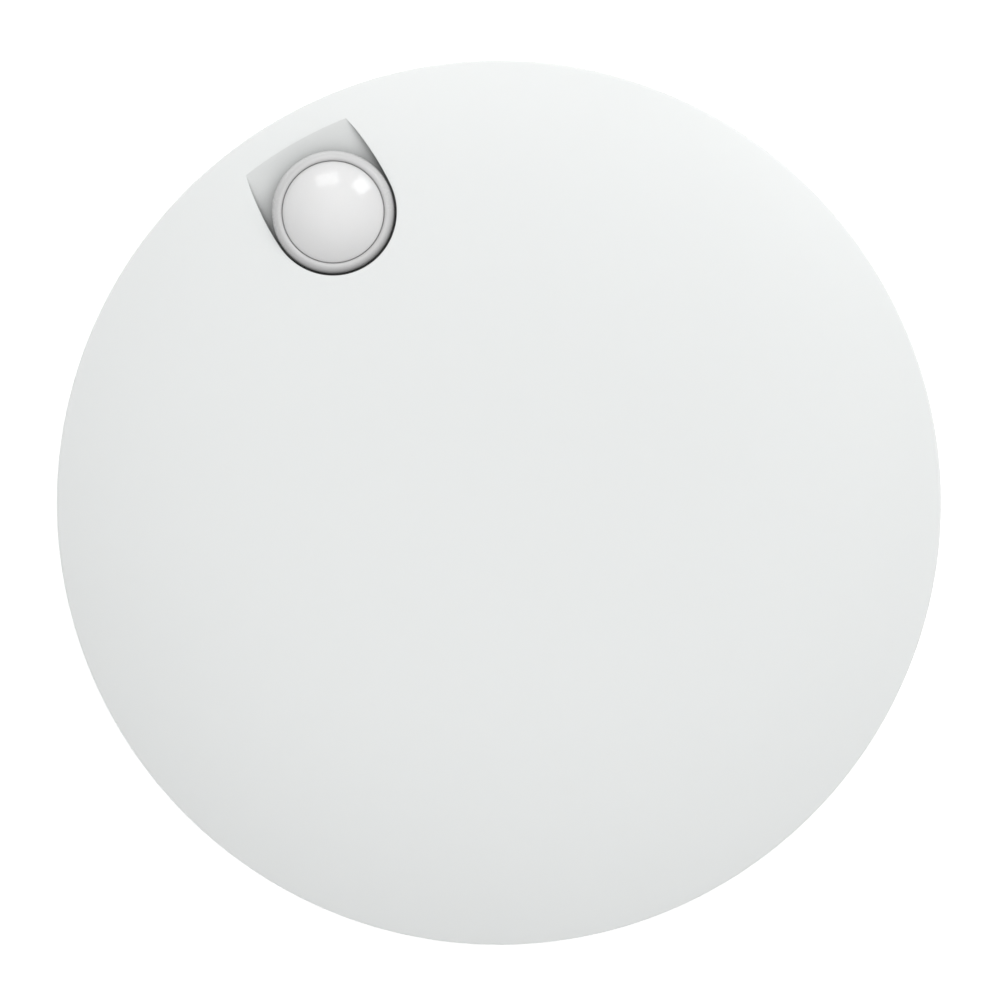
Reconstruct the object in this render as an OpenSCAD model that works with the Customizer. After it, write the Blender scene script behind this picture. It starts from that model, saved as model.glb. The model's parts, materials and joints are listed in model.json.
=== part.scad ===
// Round ceiling or wall light with a built-in motion sensor head.
// Units are millimetres. The mounting face is the plane z = 0 and +Z points out into the room.

/* [Cover] */
// Outside diameter of the opal cover
cover_d = 330; // [326:1:334]
// Height of the crown of the cover above the mounting face
crown_h = 52; // [51:0.5:54]
// Fall of the dome from its crown to its rim
dome_drop = 16; // [14:0.5:17]
// Exponent of the dome's profile: higher is flatter in the middle
dome_power = 4; // [3.5:0.1:4.5]
// Wall thickness of the cover
cover_t = 2; // [1.6:0.1:2.2]
// Rounding between the dome and the skirt
rim_round = 1.5; // [1:0.1:2]
// Height of the skirt's lower edge above the mounting face
skirt_z = 2; // [1.8:0.1:3]

/* [Sensor pocket] */
// Direction of the sensor head, anticlockwise from +X
sensor_angle = 120; // [118:1:122]
// Distance of the sensor's axis from the centre of the cover
sensor_r = 124.5; // [124:0.1:125]
// Distance from the centre at which the pocket's floor runs out through the dome
pocket_edge_r = 154.2; // [153:0.1:155]
// Radius of the round end of the pocket
pocket_r = 23.6; // [23.4:0.1:24]
// Radius of the pocket's two long sides
pocket_side_r = 110; // [90:5:150]
// Angle at which each long side leaves the round end
pocket_leave_angle = 93.7; // [92:0.1:95]

/* [Sensor head] */
// Outside radius of the collar round the lens
collar_r = 22.9; // [22.7:0.1:23]
// Height of the collar's crest above the mounting face
collar_top = 49.5; // [49:0.5:52]
// Radius of the domed lens
lens_r = 18.95; // [18.8:0.05:19]
// Height of the lens dome above its own edge
lens_rise = 6.3; // [5:0.1:7]
// Wall thickness of the lens
lens_t = 0.9; // [0.7:0.1:1.2]
// Angle each adjuster has been turned to, from its middle
adjuster_turn = 0; // [-135:15:135]

/* [Base] */
// Thickness of the steel base pan
pan_t = 1.2; // [1:0.1:1.2]
// Radius of the base pan's flange
pan_r = 163.5; // [162:0.5:164]
// Height of the pan's upturned rim
pan_rim_h = 16; // [14:0.5:17]
// Radius of the circle that the wall screws lie on
wall_screw_r = 125; // [120:1:128]
// Radius of each wall screw hole
wall_hole_r = 2.75; // [2.5:0.05:3]
// Radius of the cable bore in the rubber grommet
cable_r = 4.25; // [3.5:0.25:4.5]

/* [Light source] */
// Light-emitting diodes in the outer ring
outer_leds = 20; // [16:1:24]
// Light-emitting diodes in the inner ring
inner_leds = 10; // [8:1:12]
// Radius of each diode's lens
led_lens_r = 6.2; // [5:0.1:6.5]

/* [Hidden] */
$fn = 64;
eps = 0.01;
cover_r = cover_d / 2;
skirt_inner_r = cover_r - cover_t;
clip_angles = [60, 180, 300];
standoff_angles = [90, 210, 330];

// Dome of the cover
dome_steps = 36;
rim_steps = 6;
rim_tilt = atan(dome_slope(cover_r - rim_round));
dome_end_r = cover_r - rim_round * (1 - sin(rim_tilt));
bead_z = 13;
bead_h = 2.6;
bead_in = 1.8;
pocket_floor_z = dome_z(pocket_edge_r);
pocket_under_z = pocket_floor_z - cover_t;
pocket_reach = 36;
collar_flange_t = 1.2;
collar_flange_w = 1.7;

// Base pan
pan_rim_r = 160;
seal_w = 2.4;
seal_h = 3.8;
grommet_at = [20, 122];
grommet_hole_r = 9.5;
grommet_flange_r = 12;
bore_z = 3;
bore_top = 9;
rivet_r = 1.45;
rivet_hole_r = 1.5;
rivet_head_r = 2.8;
clip_rivet_r = 147;

// Clips that hold the cover
clip_t = 0.6;
clip_w = 12;
clip_foot_r = 141;
clip_leg_r = 156.9;
clip_nose = [161.9, 21];
clip_tip = [157.6, 25.6];
clip_bend_z = 18;

// Gear tray and light source
tray_z = 24;
tray_t = 1.2;
tray_r = 96;
tray_hole_r = 22;
standoff_ring_r = 64;
standoff_r = 4;
board_z = tray_z + tray_t;
board_t = 1.6;
board_in_r = 30;
board_out_r = 88;
board_top = board_z + board_t;
outer_led_r = 79;
inner_led_r = 48;
led_size = [3.5, 2.8, 0.7];
led_lens_h = 5.4;
push_rivet_ring_r = 35;
m4_r = 1.9;
m4_hole_r = 2.1;

// Driver
driver_size = [104, 42, 18];
driver_wall = 1.6;
driver_screw_at = [[44, 27.5], [-44, -27.5]];

// Terminal block
terminal_x = [106, 128];
terminal_size = [22, 31, 16];
pole_pitch = 9;
poles = [1, 0, -1];
entry_y = [-1.7, 1.7];
button_x = 122;
button_size = [5, 4, 7.4];
button_rise = 2.4;
wire_r = 1.1;

// Sensor housing
tub_min = [-26, -27];
tub_max = [24.5, 46];
tub_top = 20;
tub_wall = 1.8;
tub_screw_at = [[12, -31], [0, 50]];
tub_flange_t = 2.2;
pillar_in = 5.5;
lid_screw_at = [for (x = [tub_min[0] + pillar_in, tub_max[0] - pillar_in],
    y = [tub_min[1] + pillar_in, tub_max[1] - pillar_in]) [x, y]];
entry_x = [-12, -6, 0];
entry_z = 10.8;
tub_floor = 1.6;
lid_t = 2;
shoulder_r = 26;
shoulder_top = 34;
tube_r = 20.9;
tube_bore_r = 19.2;
ring_outer_r = 21.7;
collar_inner_r = 22;
lens_flange_z = collar_top - 6.4;
lens_flange_t = 1.2;
lens_edge_z = collar_top - 0.6;
collar_bore_r = lens_r + 0.35;
collar_shoulder = [3.2, 4.8];
collar_lip_round = collar_r - collar_shoulder[0] - collar_bore_r;
ledge_z = 33;
head_board_r = 18.8;
head_board_t = 1.4;
head_board_top = ledge_z + head_board_t;
power_board_z = 5.6;
power_board_t = 1.6;
power_board_top = power_board_z + power_board_t;
adjuster_y = 36;
adjuster_x = [-12.5, -0.75, 11];
shaft_r = 1.5;
knob_r = 4.3;
knob_z = tub_top + lid_t + 0.4;
knob_h = 4.4;
adjuster_body_h = 6;

// ---- Functions ----

function dome_z(r) = crown_h - dome_drop * pow(r / cover_r, dome_power);
function dome_slope(r) = dome_drop * dome_power * pow(r / cover_r, dome_power - 1) / cover_r;
function inner_dome_z(r) = dome_z(r) - cover_t * sqrt(1 + pow(dome_slope(r), 2));
function arc(centre, r, from, to, steps) =
    [for (i = [0:steps]) let (a = from + (to - from) * i / steps) centre + r * [cos(a), sin(a)]];
function reversed(list) = [for (i = [len(list) - 1:-1:0]) list[i]];
function polar(p) = [p[1] * cos(p[0]), p[1] * sin(p[0]), p[2]];
function unit(v) = v / norm(v);
function from_sensor(p) = let (x = sensor_r + p[0])
    [x * cos(sensor_angle) - p[1] * sin(sensor_angle), x * sin(sensor_angle) + p[1] * cos(sensor_angle), p[2]];

// Outline of the pocket round the sensor's axis, x outwards: a round end and two long, slightly curved sides
function pocket_outline(grow) =
    let (offset_r = pocket_side_r - pocket_r,
        side_centre = -offset_r * [cos(pocket_leave_angle), sin(pocket_leave_angle)],
        side_end = acos((pocket_reach - side_centre[0]) / (pocket_side_r + grow)),
        side = arc(side_centre, pocket_side_r + grow, side_end, pocket_leave_angle, 10),
        end = arc([0, 0], pocket_r + grow, pocket_leave_angle, 360 - pocket_leave_angle, 40))
    concat([for (i = [0:len(side) - 2]) side[i]], end,
        [for (p = reversed([for (i = [0:len(side) - 2]) side[i]])) [p[0], -p[1]]]);

// A path moved sideways by d, with mitred corners
function left_of(v) = unit([-v[1], v[0]]);
function beside(path, d) = let (last = len(path) - 1)
    [for (i = [0:last])
        let (before = left_of(path[max(i, 1)] - path[max(i, 1) - 1]),
            after = left_of(path[min(i, last - 1) + 1] - path[min(i, last - 1)]),
            middle = unit(before + after))
        path[i] + d * middle / (middle * before)];

// Points along a smooth curve through a list of points
function curve_point(a, b, c, d, t) =
    0.5 * (2 * b + (c - a) * t + (2 * a - 5 * b + 4 * c - d) * t * t + (3 * b - a - 3 * c + d) * t * t * t);
function smooth(p, n) = let (last = len(p) - 1)
    concat([for (i = [0:last - 1], k = [0:n - 1])
        curve_point(p[max(i - 1, 0)], p[i], p[i + 1], p[min(i + 2, last)], k / n)], [p[last]]);

// ---- Helpers ----

module at_sensor() rotate([0, 0, sensor_angle]) translate([sensor_r, 0, 0]) children();

module at_polar(angle, r, z = 0) rotate([0, 0, angle]) translate([r, 0, z]) children();

module ring(outer, inner, z0, z1)
    rotate_extrude() translate([inner, z0]) square([outer - inner, z1 - z0]);

module rounded_box(low, high, z0, z1, r)
    translate([0, 0, z0]) linear_extrude(z1 - z0) {
        translate([low[0] + r, low[1]]) square([high[0] - low[0] - 2 * r, high[1] - low[1]]);
        translate([low[0], low[1] + r]) square([high[0] - low[0], high[1] - low[1] - 2 * r]);
        for (x = [low[0] + r, high[0] - r], y = [low[1] + r, high[1] - r]) translate([x, y]) circle(r);
    }

// A bent strip of metal: its path lies in XZ and its width along Y
module strip(path, t, w)
    rotate([90, 0, 0]) translate([0, 0, -w / 2]) linear_extrude(w)
        polygon(concat(beside(path, t / 2), reversed(beside(path, -t / 2))));

// A round wire along a smooth curve through the points, which never runs along the direction skew
module wire(points, r, skew = [0, 0, 1], per_point = 4, sides = 10) {
    line = smooth(points, per_point);
    last = len(line) - 1;
    rings = [for (i = [0:last])
        let (t = unit(line[min(i + 1, last)] - line[max(i - 1, 0)]),
            across = unit(cross(t, skew)),
            up = cross(across, t))
        for (k = [0:sides - 1]) line[i] + r * (across * cos(360 * k / sides) + up * sin(360 * k / sides))];
    walls = [for (i = [0:last - 1], k = [0:sides - 1])
        [i * sides + k, (i + 1) * sides + k, (i + 1) * sides + (k + 1) % sides, i * sides + (k + 1) % sides]];
    ends = [[for (k = [0:sides - 1]) k], [for (k = [sides - 1:-1:0]) last * sides + k]];
    polyhedron(points = rings, faces = concat(walls, ends), convexity = 10);
}

module pan_head_screw(z, shank) {
    translate([0, 0, z]) difference() {
        rotate_extrude()
            polygon(concat([[0, 0], [3.6, 0], [3.6, 0.9]], arc([2.4, 0.9], 1.2, 0, 90, 6), [[0, 2.1]]));
        for (a = [0, 90]) rotate([0, 0, a]) translate([-2, -0.4, 1]) cube([4, 0.8, 2]);
    }
    translate([0, 0, z - shank]) cylinder(r = m4_r, h = shank + eps);
}

// ---- Base ----

module base_pan() color("whitesmoke") difference() {
    union() {
        cylinder(r = pan_r, h = pan_t, $fn = 180);
        ring(pan_rim_r, pan_rim_r - pan_t, pan_t - eps, pan_rim_h);
    }
    for (a = clip_angles) {
        at_polar(a, wall_screw_r, -1) cylinder(r = wall_hole_r, h = pan_t + 2);
        at_polar(a, clip_rivet_r, -1) cylinder(r = rivet_hole_r, h = pan_t + 2);
    }
    at_polar(grommet_at[0], grommet_at[1], -1) cylinder(r = grommet_hole_r, h = pan_t + 2);
    for (p = driver_screw_at) translate([p[0], p[1], -1]) cylinder(r = m4_hole_r, h = pan_t + 2);
    at_sensor() for (p = tub_screw_at) translate([p[0], p[1], -1]) cylinder(r = m4_hole_r, h = pan_t + 2);
}

module rim_seal() color("lightgrey")
    ring(pan_rim_r + seal_w, pan_rim_r, pan_t, pan_t + seal_h);

module cable_grommet() color("dimgray") at_polar(grommet_at[0], grommet_at[1]) rotate_extrude()
    polygon([[7, 0], [grommet_hole_r, 0], [grommet_hole_r, pan_t], [grommet_flange_r, pan_t],
        [grommet_flange_r, pan_t + 1.6], [9, pan_t + 1.6], [6.2, bore_top], [cable_r, bore_top],
        [cable_r, bore_z]]);

module cover_clips() color("silver") for (a = clip_angles) rotate([0, 0, a]) difference() {
    strip([[clip_foot_r, pan_t + clip_t / 2], [clip_leg_r, pan_t + clip_t / 2], [clip_leg_r, clip_bend_z],
        clip_nose, clip_tip], clip_t, clip_w);
    translate([clip_rivet_r, 0, 0]) cylinder(r = rivet_hole_r, h = 4);
}

module clip_rivets() color("gray") for (a = clip_angles) at_polar(a, clip_rivet_r) {
    translate([0, 0, 0.1]) cylinder(r = rivet_r, h = pan_t + clip_t);
    translate([0, 0, pan_t + clip_t]) cylinder(r1 = rivet_head_r, r2 = rivet_head_r * 0.6, h = 1.1);
}

module tray_standoffs() color("silver") for (a = standoff_angles) at_polar(a, standoff_ring_r, pan_t)
    difference() {
        cylinder(r = standoff_r, h = tray_z - pan_t);
        translate([0, 0, tray_z - pan_t - 11]) cylinder(r = m4_hole_r - 0.1, h = 12);
    }

// ---- Gear tray and light source ----

module gear_tray() color("white") difference() {
    union() {
        ring(tray_r, tray_hole_r, tray_z, tray_z + tray_t);
        ring(tray_r, tray_r - tray_t, tray_z - 2, tray_z + eps);
    }
    for (a = standoff_angles) {
        at_polar(a, standoff_ring_r, tray_z - 1) cylinder(r = m4_hole_r, h = 4);
        at_polar(a, push_rivet_ring_r, tray_z - 1) cylinder(r = rivet_hole_r, h = 4);
    }
}

module tray_screws() color("silver") for (a = standoff_angles) at_polar(a, standoff_ring_r)
    pan_head_screw(board_top, 9);

module led_board() color("white") difference() {
    ring(board_out_r, board_in_r, board_z, board_top);
    for (a = standoff_angles) {
        at_polar(a, standoff_ring_r, tray_z) cylinder(r = m4_hole_r, h = 6);
        at_polar(a, push_rivet_ring_r, tray_z) cylinder(r = rivet_hole_r, h = 6);
    }
}

module each_led() {
    for (i = [0:outer_leds - 1]) at_polar(360 / outer_leds * (i + 0.5), outer_led_r, board_top) children();
    for (i = [0:inner_leds - 1]) at_polar(360 / inner_leds * i, inner_led_r, board_top) children();
}

module led_chips() color("khaki") each_led()
    translate([-led_size[0] / 2, -led_size[1] / 2, 0]) cube(led_size);

module led_lenses() color("aliceblue") each_led() {
    cap_r = (pow(led_lens_r, 2) + pow(led_lens_h - 1, 2)) / (2 * (led_lens_h - 1));
    difference() {
        union() {
            cylinder(r = led_lens_r, h = 1);
            intersection() {
                translate([0, 0, led_lens_h - cap_r]) sphere(cap_r);
                translate([0, 0, 0.5]) cylinder(r = led_lens_r, h = led_lens_h);
            }
        }
        translate([0, 0, -1]) cylinder(r = 2.7, h = 2.4);
    }
}

module board_rivets() color("white") for (a = standoff_angles) at_polar(a, push_rivet_ring_r) {
    translate([0, 0, board_top]) cylinder(r1 = 3, r2 = 2.4, h = 1.2);
    translate([0, 0, tray_z - 1.8]) cylinder(r = rivet_r, h = board_top - tray_z + 1.8 + eps);
}

module board_connector() color("ivory") at_polar(270, 34.5, board_top) difference() {
    translate([-3.5, -5, 0]) cube([7, 10, 4.4]);
    for (y = [-2, 2]) translate([-4, y, 2.2]) rotate([0, 90, 0]) cylinder(r = 1.05, h = 4);
    for (y = [-2, 2]) translate([0.6, y - 1, 3.4]) cube([2, 2, 2]);
}

// ---- Driver ----

module driver_case() color("white") translate([0, 0, pan_t]) difference() {
    union() {
        rounded_box([-driver_size[0] / 2, -driver_size[1] / 2], [driver_size[0] / 2, driver_size[1] / 2],
            0, driver_size[2] - driver_wall, 2);
        for (s = [-1, 1]) rounded_box([s * 44 - 5, s * 26 - 6], [s * 44 + 5, s * 26 + 6], 0, 2.4, 2);
    }
    translate([-driver_size[0] / 2 + driver_wall, -driver_size[1] / 2 + driver_wall, driver_wall])
        cube([driver_size[0] - 2 * driver_wall, driver_size[1] - 2 * driver_wall, driver_size[2]]);
    for (p = driver_screw_at) translate([p[0], p[1], -1]) cylinder(r = m4_hole_r, h = 5);
    for (y = [-5, 5]) translate([40, y, 4.8]) rotate([0, 90, 0]) cylinder(r = wire_r + 0.2, h = 20);
    for (y = [-2, 2]) translate([-60, y, 8.8]) rotate([0, 90, 0]) cylinder(r = 1, h = 20);
}

module driver_lid() color("white") translate([0, 0, pan_t + driver_size[2] - driver_wall]) difference() {
    union() {
        rounded_box([-driver_size[0] / 2, -driver_size[1] / 2], [driver_size[0] / 2, driver_size[1] / 2],
            0, driver_wall, 2);
        for (s = [-1, 1]) translate([s * 46 - 1, -18, -2]) cube([2, 36, 2 + eps]);
    }
    for (x = [-30:6:30]) translate([x, -12, -1]) cube([1.6, 24, 4]);
}

module driver_board() color("darkgreen")
    translate([-48, -19, pan_t + driver_wall + 1.4]) cube([96, 38, 1.6]);

module driver_transformer() color("goldenrod") translate([-6, 0, pan_t + driver_wall + 3]) {
    translate([-9, -10, 0]) cube([18, 20, 2]);
    translate([-8, -5, 2 - eps]) cube([16, 10, 9]);
    translate([-9, -10, 8]) cube([18, 20, 2]);
}

module driver_capacitors() color("dimgray") for (p = [[22, 8, 5, 11], [36, -6, 4, 9], [-32, 6, 4, 10]])
    translate([p[0], p[1], pan_t + driver_wall + 3]) cylinder(r = p[2], h = p[3]);

module driver_screws() color("silver") for (p = driver_screw_at) translate([p[0], p[1], 0])
    pan_head_screw(pan_t + 2.4, pan_t + 2.2);

// ---- Terminal block and earth ----

module terminal_body() color("white") difference() {
    translate([terminal_x[0], -terminal_size[1] / 2, pan_t]) cube(terminal_size);
    for (p = poles) translate([0, p * pole_pitch, 0]) {
        translate([button_x - button_size[0] / 2 - 0.2, -button_size[1] / 2 - 0.2, 11])
            cube([button_size[0] + 0.4, button_size[1] + 0.4, 10]);
        translate([108.5, -3.2, 3]) cube([17, 6.4, 8 + eps]);
        translate([124, 0, 7]) rotate([0, 90, 0]) cylinder(r = 2, h = 6);
        for (y = entry_y) translate([104, y, 7]) rotate([0, 90, 0]) cylinder(r = wire_r + 0.3, h = 6);
    }
    translate([104, -pole_pitch / 2 - 1, 13]) cube([6, 2, 6]);
    translate([104, pole_pitch / 2 - 1, 13]) cube([6, 2, 6]);
}

module terminal_clamps() color("gold") for (p = poles) translate([0, p * pole_pitch, 0])
    strip([[110, 3.4], [122, 3.4], [124.4, 6], [120.5, 10], [116, 9.4]], 0.5, 5.6);

module release_button(pole) translate([button_x - button_size[0] / 2, pole * pole_pitch - button_size[1] / 2,
    pan_t + terminal_size[2] + button_rise - button_size[2]]) difference() {
        cube(button_size);
        translate([button_size[0] / 2 - 1.6, button_size[1] / 2 - 0.4, button_size[2] - 0.8])
            cube([3.2, 0.8, 2]);
    }

module button_live() color("chocolate") release_button(1);
module button_neutral() color("steelblue") release_button(0);
module button_earth() color("yellowgreen") release_button(-1);

module at_earth() translate([112, -38, 0]) children();

module earth_stud() color("silver") at_earth() translate([0, 0, pan_t]) {
    cylinder(r = 3.4, h = 0.8);
    cylinder(r = 1.95, h = 10);
}

module earth_nut() color("goldenrod") at_earth() translate([0, 0, pan_t + 1.8]) difference() {
    cylinder(r = 4.1, h = 3.2, $fn = 6);
    translate([0, 0, -1]) cylinder(r = 2, h = 6);
}

module earth_lug() color("silver") at_earth() difference() {
    union() {
        translate([0, 0, pan_t + 0.8]) cylinder(r = 4.6, h = 0.9);
        translate([-2, 3, pan_t + 0.8]) cube([4, 6, 0.9]);
        translate([0, 8, pan_t + 2.9]) rotate([-90, 0, 0]) cylinder(r = 2, h = 6);
        translate([-1, 8, pan_t + 0.8]) cube([2, 2, 1.4]);
    }
    translate([0, 0, pan_t]) cylinder(r = 2.1, h = 3);
    translate([0, 10, pan_t + 2.9]) rotate([-90, 0, 0]) cylinder(r = wire_r + 0.15, h = 6);
}

// ---- Wires ----

module wire_earth() color("yellowgreen")
    wire([[108, -10.7, 7], [106, -10.7, 7], [103.6, -11.2, 6.8], [102, -14, 5.8], [102.8, -17.4, 4.8],
        [106, -19.6, 4.2], [109.6, -20.4, 4.1], [111.6, -22, 4.1], [112, -24.2, 4.1], [112, -26, 4.1],
        [112, -27.7, 4.1]], wire_r);

module wire_live() color("saddlebrown")
    wire(concat([[108, 10.7, 7], [106, 10.7, 7], [103.8, 11.4, 6.8], [102.4, 14.6, 5]],
        [for (p = [[12, 102.8, 3.1], [20, 102.8, 2.9], [32, 102.8, 2.9], [44, 102.8, 2.9], [56, 102.8, 2.9],
            [68, 102.8, 2.9], [80, 103, 2.9]]) polar(p)],
        [for (p = [[-33.5, -53, 3.4], [-19, -45, 5.6], [-6, -38.5, 9], [-1, -34.4, 10.6], [0, -30, entry_z],
            [0, -26, entry_z], [0, -18.6, entry_z]]) from_sensor(p)]), wire_r);

module wire_neutral() color("steelblue")
    wire(concat([[108, 1.7, 7], [106, 1.7, 7], [103, 2.2, 6.8], [100.6, 5, 5.8]],
        [for (p = [[7, 100.2, 3.6], [12, 100.2, 2.9], [20, 100.2, 2.9], [32, 100.2, 2.9], [44, 100.2, 2.9],
            [56, 100.2, 2.9], [68, 100.2, 2.9], [80, 100.2, 2.9]]) polar(p)],
        [for (p = [[-37.4, -51, 3.4], [-24, -43, 5.6], [-11.4, -37, 9], [-6.8, -33.6, 10.6],
            [-6, -29.6, entry_z], [-6, -26, entry_z], [-6, -18.6, entry_z]]) from_sensor(p)]), wire_r);

module wire_switched() color("dimgray")
    wire(concat([[49.6, 5, 6], [52, 5, 6]],
        [for (p = [[7.4, 58, 5.4], [9, 70, 3.4], [14, 86, 2.9], [20, 95.4, 2.9], [26, 97.6, 2.9],
            [32, 97.6, 2.9], [44, 97.6, 2.9], [56, 97.6, 2.9], [68, 97.6, 2.9], [80, 97.6, 2.9]]) polar(p)],
        [for (p = [[-41, -49, 3.4], [-29, -41.4, 5.6], [-17, -35.6, 9], [-12.8, -32.6, 10.6],
            [-12, -29.2, entry_z], [-12, -26, entry_z], [-12, -18.6, entry_z]]) from_sensor(p)]), wire_r);

module wire_driver_neutral() color("steelblue")
    wire([[49.6, -5, 6], [52, -5, 6], [58, -5.4, 5.4], [66, -6.4, 3.8], [80, -7, 3], [92, -6, 3],
        [99, -3.4, 4.4], [103, -1.9, 6.4], [106, -1.7, 7], [108, -1.7, 7]], wire_r);

module led_leads() {
    color("firebrick") wire([[-49.6, 2, 10], [-53, 2, 10], [-57.4, 2.2, 10.6], [-61, 3, 13.4], [-60, 4, 18.6],
        [-54, 4, 21.2], [-44, 3.4, 21.6], [-28, 2, 21.6], [-16, -2, 22], [-8, -8.4, 24], [-4, -15, 27.4],
        [-2.4, -23, 29.2], [-2, -29.6, 29], [-2, -33, 29]], 0.8, [1, 1, 0]);
    color("dimgray") wire([[-49.6, -2, 10], [-53, -2, 10], [-57, -1.9, 10.6], [-60.6, -1.4, 13.4],
        [-59.6, 0, 18.6], [-54, 0, 21.2], [-44, -0.6, 21.6], [-28, -2.4, 21.6], [-16, -6.8, 22],
        [-6.4, -13, 24], [-0.6, -17.4, 27.4], [1.7, -23.4, 29.2], [2, -29.6, 29], [2, -33, 29]],
        0.8, [1, 1, 0]);
}

module wire_saddles() color("white") for (a = [32, 56, 80]) at_polar(a, 100.2, pan_t) difference() {
    translate([-5.4, -2.5, 0]) cube([10.8, 5, 4.2]);
    translate([-4.1, -4, -1]) cube([8.2, 8, 4.2]);
}

// ---- Sensor housing ----

module sensor_tub() color("white") at_sensor() difference() {
    union() {
        rounded_box(tub_min, tub_max, pan_t, tub_top, 4);
        for (p = tub_screw_at) translate([p[0], p[1], pan_t]) cylinder(r = 5.4, h = tub_flange_t);
    }
    difference() {
        rounded_box(tub_min + [tub_wall, tub_wall], tub_max - [tub_wall, tub_wall],
            pan_t + tub_floor, tub_top + 1, 2.4);
        for (p = lid_screw_at) translate([p[0], p[1], pan_t]) cylinder(r = 3.2, h = tub_top);
        for (x = [-12, 12], y = [-14, 28]) translate([x, y, pan_t]) cylinder(r = 2, h = power_board_z - pan_t);
    }
    for (p = lid_screw_at) translate([p[0], p[1], tub_top - 12]) cylinder(r = 1.3, h = 14);
    for (x = entry_x) translate([x, tub_min[1] - 1, entry_z]) rotate([-90, 0, 0])
        cylinder(r = wire_r + 0.4, h = 5);
    for (p = tub_screw_at) translate([p[0], p[1], 0]) cylinder(r = m4_hole_r, h = 6);
}

module sensor_lid() color("white") at_sensor() difference() {
    union() {
        rounded_box(tub_min, tub_max, tub_top, tub_top + lid_t, 4);
        cylinder(r = shoulder_r, h = shoulder_top);
        cylinder(r = tube_r, h = lens_flange_z);
        for (x = adjuster_x) translate([x, adjuster_y, tub_top]) cylinder(r = 5.6, h = lid_t + 0.3);
    }
    translate([0, 0, -1]) cylinder(r = shoulder_r + 10, h = tub_top + 1);
    translate([0, 0, tub_top - 1]) cylinder(r = shoulder_r - 2, h = shoulder_top - tub_top - 1);
    translate([0, 0, ledge_z - 3]) cylinder(r = tube_bore_r - 1.6, h = 20);
    translate([0, 0, ledge_z]) cylinder(r = tube_bore_r, h = 30);
    for (x = adjuster_x) translate([x, adjuster_y, tub_top - 1]) cylinder(r = shaft_r + 0.4, h = 6);
    for (p = lid_screw_at) translate([p[0], p[1], tub_top - 1]) cylinder(r = 1.7, h = 6);
    for (p = lid_screw_at) translate([p[0], p[1], tub_top + lid_t]) cylinder(r = 3, h = 9);
}

module lid_screws() color("silver") at_sensor() for (p = lid_screw_at)
    translate([p[0], p[1], tub_top + lid_t]) {
    translate([0, 0, -9]) cylinder(r = 1.2, h = 9 + eps);
    difference() {
        rotate_extrude()
            polygon(concat([[0, 0], [2.6, 0], [2.6, 0.6]], arc([1.7, 0.6], 0.9, 0, 90, 5), [[0, 1.5]]));
        for (a = [0, 90]) rotate([0, 0, a]) translate([-1.4, -0.3, 0.7]) cube([2.8, 0.6, 2]);
    }
}

module tub_screws() color("silver") at_sensor() for (p = tub_screw_at) translate([p[0], p[1], 0])
    pan_head_screw(pan_t + tub_flange_t, pan_t + tub_flange_t - 0.2);

module shoulder_gasket() color("gainsboro") at_sensor()
    ring(shoulder_r - 0.4, collar_inner_r, shoulder_top, shoulder_top + 1.7);

// Ring that clips over the tower and holds the lens by its flange
module lens_ring() color("white") at_sensor() rotate_extrude($fn = 128) polygon([
    [tube_r + 0.05, lens_flange_z - 3], [ring_outer_r, lens_flange_z - 3],
    [ring_outer_r, lens_flange_z + lens_flange_t + 0.8], [lens_r + 0.15, lens_flange_z + lens_flange_t + 0.8],
    [lens_r + 0.15, lens_flange_z + lens_flange_t], [tube_r + 0.05, lens_flange_z + lens_flange_t]]);

module pir_lens() color("white") at_sensor() {
    rho = (pow(lens_r, 2) + pow(lens_rise, 2)) / (2 * lens_rise);
    top = lens_edge_z + lens_rise;
    inner_r = lens_r - lens_t;
    half = asin(lens_r / rho);
    inner_half = asin(inner_r / (rho - lens_t));
    rotate_extrude($fn = 128) polygon(concat(
        arc([0, top - rho], rho, 90, 90 - half, 24),
        [[lens_r, lens_flange_z + lens_flange_t], [tube_r - 0.2, lens_flange_z + lens_flange_t],
            [tube_r - 0.2, lens_flange_z], [inner_r, lens_flange_z]],
        arc([0, top - rho], rho - lens_t, 90 - inner_half, 90, 24)));
}

module head_board() color("darkgreen") at_sensor()
    translate([0, 0, ledge_z]) cylinder(r = head_board_r, h = head_board_t);

module pyro_can() color("silver") at_sensor() translate([0, 0, head_board_top]) difference() {
    union() {
        cylinder(r = 4.65, h = 0.6);
        cylinder(r = 4.1, h = 4.2);
    }
    translate([-2, -1.6, 3.9]) cube([4, 3.2, 1]);
}

module pyro_window() color("black") at_sensor()
    translate([-2, -1.6, head_board_top + 3.9]) cube([4, 3.2, 0.25]);

module light_cell() color("peru") at_sensor() translate([9.5, 5, head_board_top]) {
    cylinder(r = 2.6, h = 1.8);
    for (y = [-1.2, -0.4, 0.4, 1.2]) translate([-1.6, y - 0.15, 1.8 - eps]) cube([3.2, 0.3, 0.2]);
}

module status_led() color("red") at_sensor() translate([-9.5, -5, head_board_top]) {
    cylinder(r = 1.9, h = 1);
    cylinder(r = 1.5, h = 2.6);
    translate([0, 0, 2.6]) sphere(1.5);
}

module power_board() color("darkgreen") at_sensor()
    translate([-17, -22, power_board_z]) cube([32.5, 64, power_board_t]);

module relay() color("royalblue") at_sensor()
    rounded_box([-11, -16], [8, 0], power_board_top, power_board_top + 15, 0.8);

module supply_capacitor() color("dimgray") at_sensor() {
    translate([6, 9, power_board_top]) cylinder(r = 5, h = 16);
    translate([-8, 10, power_board_top]) cylinder(r = 4, h = 12);
}

module sensor_socket() color("ivory") at_sensor() difference() {
    translate([-15.5, -21.6, power_board_top]) cube([19, 5, 7]);
    for (x = entry_x) translate([x, -24, entry_z]) rotate([-90, 0, 0]) cylinder(r = wire_r + 0.1, h = 6);
}

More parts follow.
